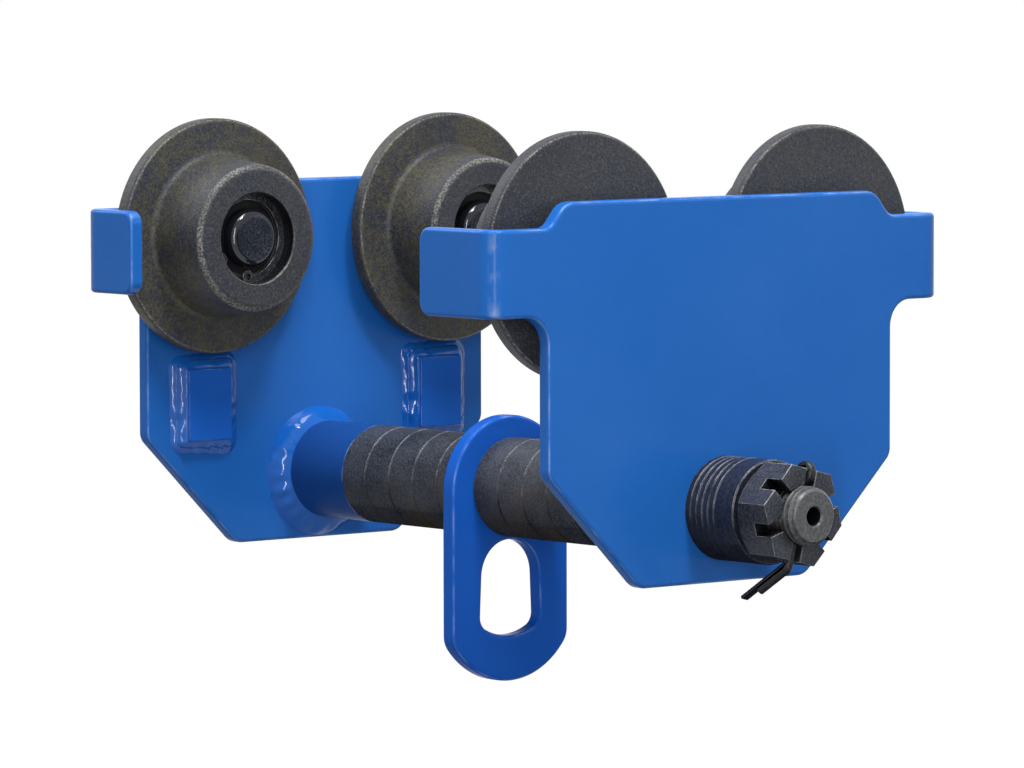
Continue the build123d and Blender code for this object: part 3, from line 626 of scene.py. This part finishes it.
def bar_half(radius, end_y, inwards):
    """One end of the bar from its middle out: radii and places along it, and how deep its thread is cut
    there. The thread runs out at its inner end. The chamfer, the face with its rings of tool marks and the
    centre hole follow."""
    shank = np.arange(thread_length, 0.0, -thread_step)
    outline = np.minimum(radius, radius - bar_chamfer + shank)
    cut = np.clip((thread_length - shank) / thread_runout, 0, 1)
    face = radius - bar_chamfer
    lip = centre_hole_radius + centre_hole_lip
    marks = np.linspace(0, 1, tool_mark_count * tool_mark_rows + 1)
    hole = [centre_hole_radius, centre_hole_radius, 0.0]
    hole_places = [centre_hole_lip, centre_hole_depth, centre_hole_depth + centre_hole_tip]
    end_radii = np.concatenate([face + (lip - face) * marks, hole])
    end_places = np.concatenate([tool_mark_depth * np.sin(pi * marks * tool_mark_count) ** 2, hole_places])
    radii = np.concatenate([outline, end_radii])
    along = np.concatenate([shank, end_places])
    depth = np.concatenate([cut, np.zeros(len(end_radii))]) * thread_depth
    return radii, end_y + inwards * along, depth


def threaded_bar(low, high):
    """Bar as rows of circles, from one centre hole over the body to the other.
    The radius is the lesser of the outline and the thread, whose groove is a clipped triangle wave of the
    place along the bar over the pitch plus the turn round it, flat at the crest and at the root."""
    radius = (high.x - low.x) / 2
    near_radii, near_y, near_cut = bar_half(radius, low.y, 1.0)
    far_radii, far_y, far_cut = bar_half(radius, high.y, -1.0)
    radii = np.concatenate([near_radii[::-1], far_radii])[:, None]
    along = np.concatenate([near_y[::-1], far_y])[:, None]
    cut = np.concatenate([near_cut[::-1], far_cut])[:, None]
    turn = np.linspace(0, 2 * pi, bar_columns, endpoint=False)[None]
    wave = np.abs(2 * ((along / thread_pitch + turn / (2 * pi)) % 1.0) - 1)
    groove = np.clip((wave - thread_crest) / thread_flank, 0, 1)
    reach = np.minimum(radii, radius - cut * groove)
    x = reach * np.cos(turn)
    z = (low.z + high.z) / 2 + reach * np.sin(turn)
    return np.stack([x, np.broadcast_to(along, x.shape), z], -1)


def thread_shade_in_nuts(tree, coordinates):
    """One along the bar as far as the nuts cover it, and zero on its bare ends, from the place along Y.
    It marks where the thread gets painted shade inside the nuts.
    """
    along = add_node(tree, "SeparateXYZ", {"Vector": coordinates.outputs["Object"]}).outputs["Y"]
    near_end, far_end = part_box("near_castle_nut")[0].y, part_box("far_castle_nut")[1].y
    past_near = stretch(tree, along, low=near_end - shade_fade_outside, high=near_end + shade_fade_inside)
    before_far = stretch(tree, along, low=far_end + shade_fade_outside, high=far_end - shade_fade_inside)
    return times(tree, past_near, before_far)


bar_finish = steel_finish(
    "bar_steel_skin", bar_dark, bar_grey, bright_steel,
    roughness=0.33, speck_scale=800.0, pit_depth=0.00005, edge_width=0.0005, rub=0.9,
    sheen=0.3, shade_mask=thread_shade_in_nuts,
)
bar_low, bar_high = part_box("load_bar")
bar_grid = threaded_bar(bar_low, bar_high)
bar = lay_piece("threaded_bar", [bar_grid], bar_finish, "boss_side", bar_crease, closed=False)
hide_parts("load_bar")


# Spacer rings: short lengths of thick tube strung on the bar, which set how far apart the plates stand.
# They are phosphated charcoal grey, with fine pale specks and thin bright lines where their edges rub,
# brightest on top as a painted highlight.
ring_dark = (0.012, 0.014, 0.020, 1.0)
ring_pale = (0.064, 0.071, 0.092, 1.0)
rubbed_and_highlight_steel = (0.62, 0.62, 0.62, 1.0)
ring_finish = steel_finish(
    "spacer_steel", ring_dark, ring_pale, rubbed_and_highlight_steel,
    roughness=0.42, speck_scale=1300.0, pit_depth=0.00010, edge_width=0.0005, rub=1.4,
    sheen=0.15, stain_and_reflection=0.9, seam=0.9,
)
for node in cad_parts:
    if "spacer_ring" in node:
        wear(node, ring_finish)


# Suspension plate: a rounded link of steel plate that swings on the bar, with a slot for the hoist's hook.
# It has the side plates' paint in a deeper blue as painted shade for the near plate's shadow over it, with
# less sheen.
hanger_shaded_blue = (0.007, 0.080, 0.405, 1.0)
hanger_shaded_blue_pale = (0.012, 0.094, 0.435, 1.0)
hanger_shaded_paint = paint_finish("hanger_shaded_paint", hanger_shaded_blue, hanger_shaded_blue_pale, roughness=0.22, sheen=0.05)
wear("suspension_plate", hanger_shaded_paint)


# Washers: five punched washers and a thick turned ring outside the near plate, and a single punched washer
# outside the far plate. They are black oxide steel, with bright rubbed rims, brightest on top as a painted
# highlight.
washer_black = (0.008, 0.010, 0.018, 1.0)
washer_grey = (0.024, 0.029, 0.046, 1.0)
washer_finish = steel_finish(
    "washer_steel", washer_black, washer_grey, rubbed_and_highlight_steel,
    roughness=0.36, speck_scale=900.0, pit_depth=0.00006, edge_width=0.0004, rub=2.2, seam=0.8,
)
for node in ("thin_washers", "thick_washer", "far_washer"):
    wear(node, washer_finish)


# Castle nuts: hexagon nuts with six slots milled across the outer end, which hold the bar in the plates.
# They are black oxide over a forged skin, a little grainy, with bright corners, brightest on top as a
# painted highlight.
nut_black = (0.014, 0.016, 0.024, 1.0)
nut_grey = (0.060, 0.064, 0.080, 1.0)
nut_finish = steel_finish(
    "nut_steel", nut_black, nut_grey, rubbed_and_highlight_steel,
    roughness=0.36, speck_scale=1100.0, pit_depth=0.00010, edge_width=0.0007, rub=1.1,
)
for node in ("near_castle_nut", "far_castle_nut"):
    wear(node, nut_finish)


# Split pins: half-round wire folded double with an eye, pushed through nut and bar, and its legs bent over.
# They are blackened steel, a little shiny.
pin_black = (0.008, 0.009, 0.011, 1.0)
pin_grey = (0.030, 0.031, 0.034, 1.0)
pin_finish = steel_finish(
    "split_pin_steel", pin_black, pin_grey, bright_steel,
    roughness=0.32, speck_scale=900.0, pit_depth=0.00004, edge_width=0.0004, rub=0.6,
)
for node in ("near_split_pin", "far_split_pin"):
    wear(node, pin_finish)


# Studio: the trolley hangs over a wide pale floor, in soft light from lamps above, in front and behind.
# The floor shows white to the camera and in reflections, and keeps the shadow.
floor_drop = 1.0
floor_reach = 60.0
floor_shade = (0.30, 0.30, 0.30, 1.0)
floor_glow = 0.94
world_light = 0.26
world_white = (1.0, 1.0, 1.0, 1.0)
lamp_aim = Vector((0.0, 0.0, -0.02))


def seen_directly(tree):
    """One for rays that come from the camera, a reflection or a clear body, and zero for diffuse light."""
    rays = add_node(tree, "LightPath").outputs
    seen = combine(tree, "MAXIMUM", rays["Is Camera Ray"], rays["Is Glossy Ray"])
    return combine(tree, "MAXIMUM", seen, rays["Is Transmission Ray"])


floor_mesh = bpy.data.meshes.new("floor")
floor_corners = [(-1, -1), (1, -1), (1, 1), (-1, 1)]
floor_points = [(x * floor_reach, y * floor_reach, -floor_drop) for x, y in floor_corners]
floor_mesh.from_pydata(floor_points, [], [(0, 1, 2, 3)])
floor = bpy.data.objects.new("floor", floor_mesh)
bpy.context.scene.collection.objects.link(floor)
floor_finish = bpy.data.materials.new("floor_paper")
floor_finish.use_nodes = True
floor_tree = floor_finish.node_tree
floor_tree.nodes.remove(floor_tree.nodes["Principled BSDF"])
paper = add_node(floor_tree, "BsdfDiffuse", {"Color": floor_shade})
glow_strength = times(floor_tree, seen_directly(floor_tree), floor_glow)
glow = add_node(floor_tree, "Emission", {"Strength": glow_strength})
both = add_node(floor_tree, "AddShader", {0: paper.outputs["BSDF"], 1: glow.outputs["Emission"]})
feed(floor_tree, floor_tree.nodes["Material Output"], {"Surface": both.outputs["Shader"]})
floor_mesh.materials.append(floor_finish)

world = bpy.data.worlds.new("studio")
bpy.context.scene.world = world
world.use_nodes = True
world_tree = world.node_tree
backdrop = world_tree.nodes["Background"]
world_strength = stretch(world_tree, seen_directly(world_tree), 0.0, 1.0, new_low=world_light, new_high=1.0)
feed(world_tree, backdrop, {"Strength": world_strength})
backdrop.inputs["Color"].default_value = world_white


def add_lamp(name, azimuth, elevation, distance, width, height, power):
    """Soft rectangular lamp that faces the trolley, placed by azimuth, elevation and distance from it."""
    lamp = bpy.data.lights.new(name, "AREA")
    lamp.shape = "RECTANGLE"
    lamp.size = width
    lamp.size_y = height
    lamp.energy = power
    turn, rise = radians(azimuth), radians(elevation)
    back = Vector((sin(turn) * cos(rise), -cos(turn) * cos(rise), sin(rise)))
    holder = bpy.data.objects.new(name, lamp)
    holder.location = lamp_aim + back * distance
    holder.rotation_mode = "QUATERNION"
    holder.rotation_quaternion = (-back).to_track_quat("-Z", "Y")
    bpy.context.scene.collection.objects.link(holder)


add_lamp("key_lamp", azimuth=-12.0, elevation=58.0, distance=1.9, width=0.32, height=0.32, power=17.0)
add_lamp("strip_lamp", azimuth=-41.0, elevation=8.0, distance=1.8, width=0.08, height=1.5, power=17.0)
add_lamp("top_lamp", azimuth=-35.0, elevation=74.0, distance=1.7, width=0.9, height=0.9, power=34.0)
add_lamp("right_lamp", azimuth=42.0, elevation=15.0, distance=2.4, width=1.1, height=0.8, power=6.0)
add_lamp("back_lamp", azimuth=-150.0, elevation=42.0, distance=2.2, width=1.2, height=1.4, power=24.0)


# Camera: a long lens at the photograph's place, left of the near plate's face and a little above the bar.
# Its place, turn and lens were solved from points on the plates' edges and the wheels' rims.
picture_width = 1024
focal_pixels = 6661.922
camera_azimuth = radians(-39.845)
camera_elevation = radians(3.953)
camera_roll = radians(-0.105)
camera_distance = 2.536518
camera_target = Vector((0.001593, 0.0, -0.024831))
camera_back = Vector((sin(camera_azimuth), -cos(camera_azimuth), 0.0)) * cos(camera_elevation)
camera_back.z = sin(camera_elevation)
lens = bpy.data.cameras.new("camera")
lens.sensor_width = 36.0
lens.lens = lens.sensor_width * focal_pixels / picture_width
lens.clip_end = 200.0
camera = bpy.data.objects.new("camera", lens)
turned = (-camera_back).to_track_quat("-Z", "Y").to_matrix() @ Matrix.Rotation(camera_roll, 3, "Z")
camera.matrix_world = Matrix.Translation(camera_target + camera_back * camera_distance) @ turned.to_4x4()
bpy.context.scene.collection.objects.link(camera)
bpy.context.scene.camera = camera
bpy.context.scene.view_settings.view_transform = "Standard"
